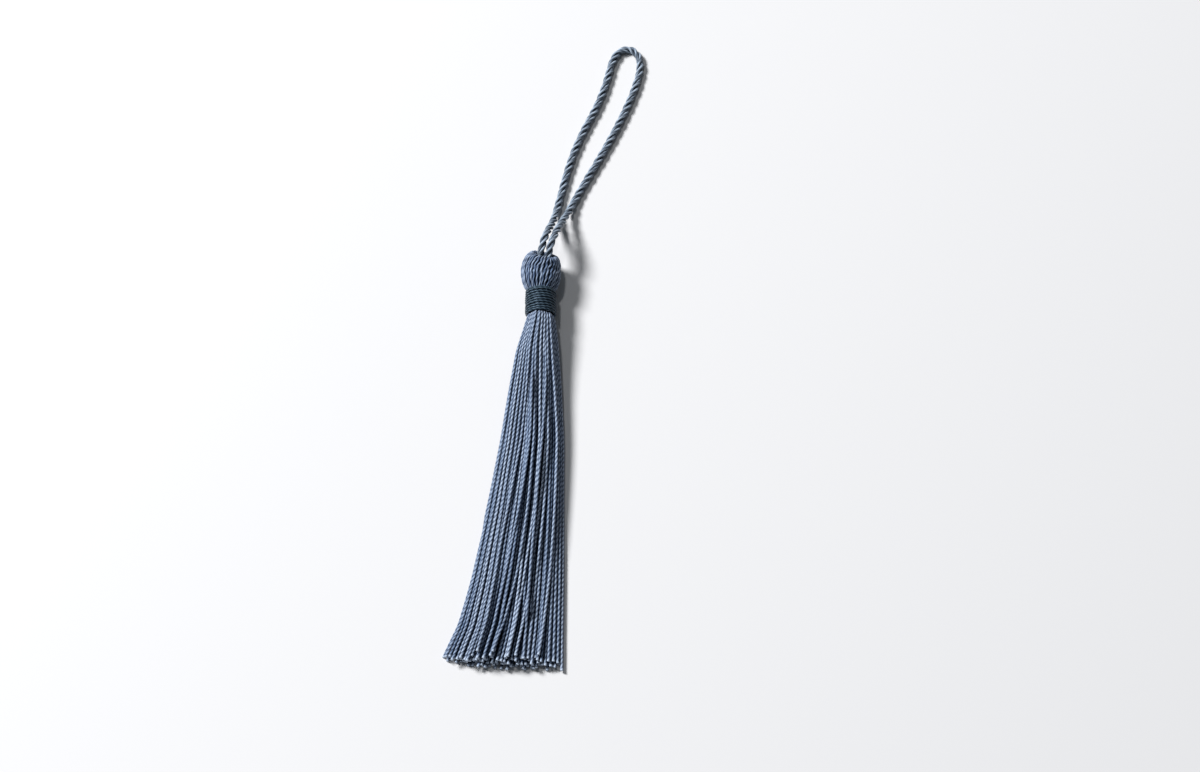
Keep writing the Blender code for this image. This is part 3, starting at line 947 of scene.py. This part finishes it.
# %% Outline of the ball
# Columns: place along the axis, radius, height over width. The slot is oval.
HEAD_OUTLINE = np.array([
    (1.95, 1.76, 0.69),
    (2.55, 1.78, 0.70),
    (2.90, 1.85, 0.74),
    (3.08, 2.02, 0.82),
    (3.02, 2.32, 0.90),
    (2.68, 2.76, 0.97),
    (2.05, 3.17, 1.0),
    (1.15, 3.47, 1.0),
    (0.10, 3.60, 1.0),
    (-1.00, 3.60, 1.0),
    (-2.05, 3.48, 1.0),
    (-3.00, 3.22, 1.0),
    (-3.75, 2.84, 1.0),
    (-4.35, 2.46, 1.0),
    (-5.20, 2.20, 1.0),
])
HEAD_RIM = HEAD_OUTLINE[:, 0].max()
SLOT_RISE = math.radians(40.0)  # how far up the slot faces
SLOT_TURN = math.radians(16.0)  # and how far to the side
RIM_ANGLE, WAIST_ANGLE = 40.0, 118.0  # from the slot's middle, seen from the ball's, in degrees


def swing_share(along, radius):
    """How much a place on the ball swings with the slot: all at the slot, nothing at the waist."""
    place = np.degrees(np.arctan2(radius, along))
    return np.clip((WAIST_ANGLE - place) / (WAIST_ANGLE - RIM_ANGLE), 0.0, 1.0)


def swung(vectors, share):
    """Turn vectors up and then aside, by a share of the slot's own angles."""
    rise, turn = share * SLOT_RISE, share * SLOT_TURN
    x, y, z = vectors.T
    y, z = np.cos(rise) * y - np.sin(rise) * z, np.sin(rise) * y + np.cos(rise) * z
    x, y = np.cos(turn) * x + np.sin(turn) * y, np.cos(turn) * y - np.sin(turn) * x
    return np.column_stack([x, y, z])


print(f"ball {2 * HEAD_OUTLINE[:, 1].max():.1f} mm thick, rim {HEAD_RIM:.2f} mm before its middle")

# %% Threads over the ball
PROUD = 0.06  # of the threads' crests over that outline
HEAD_THREADS = 34
HEAD_THREAD_RADIUS, HEAD_THREAD_LEAST = 0.27, 0.14
HEAD_THREAD_SHARE = 0.385  # a thread's radius where they crowd, as a share of their spacing
HEAD_RINGS = 14  # in the length of one lay of the skirt
HEAD_LAY = 2.9
HEAD_LAY_RANGE = (0.85, 1.15)
HEAD_LEAN, LEAN_RANGE = math.radians(20.0), (0.8, 1.2)
SPACING_RANGE = (-0.2, 0.2)  # how far a thread may lie off its even place, in spacings
HEAD_WANDER, HEAD_WANDER_WAVES = 0.035, (7.0, 4.0)  # in radians, and in millimetres
SINK = 0.13  # of every other thread, where they crowd
HEAD_UNEVEN = 0.05  # how much deeper a thread may lie than the next
HEAD_TONE, HEAD_TONE_SPREAD = 0.40, 0.34


def head_strands(seed):
    chance = np.random.default_rng(seed)
    profile = smooth_line(HEAD_OUTLINE, steps=16)
    length = length_along(profile)[-1]
    profile = evenly(profile, round(length / THREAD_LAY * HEAD_RINGS))
    along, radius, oval = profile.T
    radius = radius + PROUD
    travel = length_along(profile)
    out = unit(np.column_stack([np.gradient(radius), -np.gradient(along)]))
    pitch = 2 * math.pi * radius / HEAD_THREADS
    thick = np.clip(HEAD_THREAD_SHARE * pitch, HEAD_THREAD_LEAST, HEAD_THREAD_RADIUS)
    # 0 where full threads lie side by side and 1 where they have half the room or less.
    crowd = np.clip(1.0 - pitch / (2 * HEAD_THREAD_RADIUS), 0.0, 0.5) * 2.0
    share = np.clip((HEAD_RIM - along) / (HEAD_RIM - NECK_START), 0.0, 1.0)
    swing = swing_share(along, radius)
    strands = []
    for number in range(HEAD_THREADS):
        inward = thick + (SINK * crowd * (number % 2) + HEAD_UNEVEN * chance.random())
        lean = HEAD_LEAN * share * chance.uniform(*LEAN_RANGE)
        start = 2 * math.pi * (number + chance.uniform(*SPACING_RANGE)) / HEAD_THREADS
        angle = start + lean + HEAD_WANDER * drift(chance, travel, HEAD_WANDER_WAVES)
        reach = radius - inward * out[:, 1]
        line = np.column_stack([
            reach * np.cos(angle),
            along - inward * out[:, 0],
            reach * oval * np.sin(angle),
        ])
        away = np.column_stack([out[:, 1] * np.cos(angle), out[:, 0], out[:, 1] * np.sin(angle)])
        away = swung(away, swing)
        line = swung(line, swing) + AXIS_HEIGHT * UP
        line[:, 2] = np.maximum(line[:, 2], thick)
        tone = float(np.clip(chance.normal(HEAD_TONE, HEAD_TONE_SPREAD), 0.0, 1.0))
        lay = HEAD_LAY * chance.uniform(*HEAD_LAY_RANGE)
        strands.append(strand(line, thick, away, lay, tone, chance.uniform(0.0, 2 * math.pi)))
    return strands


head = head_strands(seed=5)
head_end = outline(2, 0.54, 10)
find_crevices(head, head_end, rounds=1, open_at=0.02, dark_at=0.15)
spin("head_threads", head, head_end, 60, floss, "floss", "yarn_tassel")

# %% [markdown]
# ## The yarn within
#
# Between the threads of the head and under the binding a little of the bundle's inside can show. It lies
# in shade, so it gets a plain core dyed dark, which is painted shade: the same outline, drawn in by a
# thread, spun as one fat strand with no plies.
# It is hollow in front, where the cord goes in, and runs through the neck into the skirt.

# %% The core
CORE_INSET = 0.42
CORE_NECK = 2.0
NO_TWIST = 1e9  # a lay so long that nothing turns
# The core's dark colours are painted shade.
core_painted_shade = yarn_material(
    "floss_within_painted_shade",
    deep=(0.004, 0.008, 0.018),
    body=(0.012, 0.022, 0.042),
    bright=(0.030, 0.046, 0.080),
    fineness=6.0,
    lean=0.02,
    run=1.2,
    bump=0.03,
    gloss=0.3,
)
# Places along the axis, each with its radius.
ball = smooth_line(HEAD_OUTLINE[4:-2, :2], steps=4)
front = ball[0, 0]
hollow = [(front - 2.0, 0.02), (front - 1.9, 1.2), (front - CORE_INSET, 1.9)]
bulge = [(along, radius - CORE_INSET) for along, radius in ball[4:]]
neck = [(NECK_START, CORE_NECK), (NECK_END, CORE_NECK), (ROOT_FACE, 2.2), (ROOT_FACE - 2.0, 0.4)]
core_along, core_radius = np.array(hollow + bulge + neck).T
swing = swing_share(core_along, core_radius)
core_line = np.column_stack([0 * core_along, core_along, 0 * core_along])
core_line = swung(core_line, swing) + AXIS_HEIGHT * UP
core = strand(core_line, core_radius, UP, NO_TWIST, tone=0.3)
# The line turns back in the hollow, so its directions are set from the ball's instead.
core["over"] = swung(np.tile(UP, (len(swing), 1)), swing)
core["side"] = swung(np.tile([-1.0, 0.0, 0.0], (len(swing), 1)), swing)
spin("yarn_core", [core], outline(0, 1.0, 48), 64, core_painted_shade, "floss", "yarn_tassel")

# %% [markdown]
# ## The binding
#
# One thinner thread goes round the neck about ten times, pulled tight and not quite evenly. It is
# a helix that wanders a little along the neck and in and out, so that some turns ride up on others.
# At both ends it goes round nearly level before it travels, and its ends are tucked in.

# %% Wind the neck
BINDING_TURNS = 10.0
BINDING_THREAD = 0.22
BINDING_STEPS = 72  # rings in one turn round the neck
BINDING_LAY = 1.8
LEVEL_TURNS = 0.7  # at each end, before the thread starts to travel
ALONG_DRIFT, ALONG_WAVES = 0.045, (1.31, 0.73, 0.47)  # the waves are in turns
OUT_DRIFT, OUT_WAVES = 0.05, (0.57, 0.31, 1.7)
PROUD_OF_BOX = 0.03  # of the binding's own box, on average
TUCK_TURNS, TUCK_DEPTH = 0.8, 0.30


def binding_strand(seed):
    chance = np.random.default_rng(seed)
    count = round(BINDING_TURNS * BINDING_STEPS)
    turn = np.linspace(0.0, BINDING_TURNS, count + 1)
    first, last = NECK_START - BINDING_THREAD, NECK_END + BINDING_THREAD
    passed = np.clip((turn - LEVEL_TURNS) / (BINDING_TURNS - 2 * LEVEL_TURNS), 0.0, 1.0)
    along = first + (last - first) * passed
    along = along + ALONG_DRIFT * drift(chance, turn, ALONG_WAVES)
    tucked = np.clip(1.0 - np.minimum(turn, BINDING_TURNS - turn) / TUCK_TURNS, 0.0, 1.0)
    reach = BINDING_RADIUS - BINDING_THREAD + PROUD_OF_BOX - TUCK_DEPTH * tucked
    reach = reach + OUT_DRIFT * drift(chance, turn, OUT_WAVES)
    angle = 2 * math.pi * turn - 0.5 * math.pi
    line = np.column_stack([reach * np.cos(angle), along, AXIS_HEIGHT + reach * np.sin(angle)])
    away = np.column_stack([np.cos(angle), np.zeros_like(angle), np.sin(angle)])
    return strand(line, BINDING_THREAD, away, BINDING_LAY, tone=0.5)


winding_turns = [binding_strand(seed=3)]
winding_end = outline(2, 0.62, 10)
find_crevices(winding_turns, winding_end, rounds=1, open_at=0.02, dark_at=0.16)
spin("binding_thread", winding_turns, winding_end, 60, winding, "winding_thread", "neck_binding")

# %% [markdown]
# ## Floor and light
#
# The photograph is lit from the upper left. A large lamp halfway up on that side brings out the
# rounding of every thread, because it leaves the gaps dark. A smaller one overhead adds sparkle on the
# plies, and a dim surround fills the shade. The surface is plain and pale.

# %% Floor
FLOOR_SIZE = 3.0  # metres, as all lengths in these last cells

floor_material = bpy.data.materials.new("pale_floor")
floor_material.use_nodes = True
floor_shader = floor_material.node_tree.nodes["Principled BSDF"]
floor_shader.inputs["Base Color"].default_value = (0.56, 0.56, 0.57, 1.0)
floor_shader.inputs["Roughness"].default_value = 0.7
floor_shader.inputs["Specular IOR Level"].default_value = 0.2
bpy.ops.mesh.primitive_plane_add(size=FLOOR_SIZE, location=(0.0, 0.0, 0.0))
floor = bpy.context.object
floor.name = "floor"
floor.data.materials.append(floor_material)
print(f"floor {FLOOR_SIZE:.0f} m square")

# %% Lamps and surround
LAMPS_AIM = np.array([0.0, -0.02, 0.0])


def soft_lamp(name, size, power, place):
    data = bpy.data.lights.new(name, "AREA")
    data.shape = "DISK"
    data.size = size
    data.energy = power
    lamp = bpy.data.objects.new(name, data)
    bpy.context.scene.collection.objects.link(lamp)
    lamp.location = place
    towards = LAMPS_AIM - np.array(place)
    yaw = math.atan2(towards[0], -towards[1])
    tilt = math.atan2(math.hypot(towards[0], towards[1]), -towards[2])
    lamp.rotation_euler = (tilt, 0.0, math.pi + yaw)


soft_lamp("key", 0.45, 50.0, (-0.98, 0.55, 1.10))
soft_lamp("sparkle", 0.14, 4.0, (-0.30, 0.30, 1.50))
world = bpy.data.worlds.new("surround")
bpy.context.scene.world = world
world.use_nodes = True
surround = world.node_tree.nodes["Background"]
surround.inputs["Color"].default_value = (0.85, 0.93, 1.0, 1.0)
surround.inputs["Strength"].default_value = 0.13
bpy.context.scene.view_settings.view_transform = "Standard"
